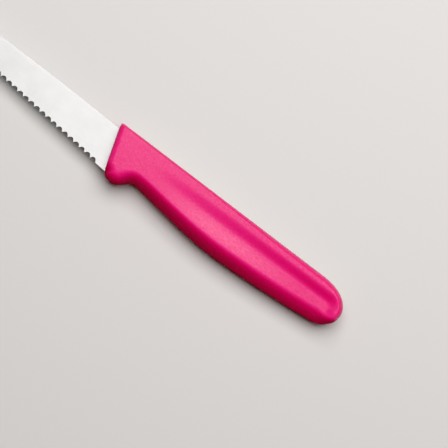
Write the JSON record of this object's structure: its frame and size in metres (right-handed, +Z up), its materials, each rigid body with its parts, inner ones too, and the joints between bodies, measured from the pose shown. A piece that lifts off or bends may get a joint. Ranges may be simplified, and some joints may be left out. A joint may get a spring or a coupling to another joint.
{
  "type": "serrated vegetable knife",
  "caption": "Small kitchen knife with a pointed, serrated stamped steel blade and a one-piece moulded plastic handle with a finger guard and hollowed sides.",
  "frame": {"origin": "middle of the knife's footprint, on the surface it lies on", "axes": "+X along the knife from the tip to the butt, +Y across it from the edge to the spine, +Z up, out of the left side of the handle; the knife lies on its right side"},
  "size_m": [0.2176, 0.0204, 0.013],
  "materials": {
    "blade_steel": "satin ground stainless steel, with finely ground grooves on the right side of the edge",
    "handle_plastic": "raspberry pink polypropylene with a fine spark-eroded mould texture"
  },
  "bodies": {
    "root": {"blade": "blade_steel", "handle": "handle_plastic"}
  },
  "joints": []
}
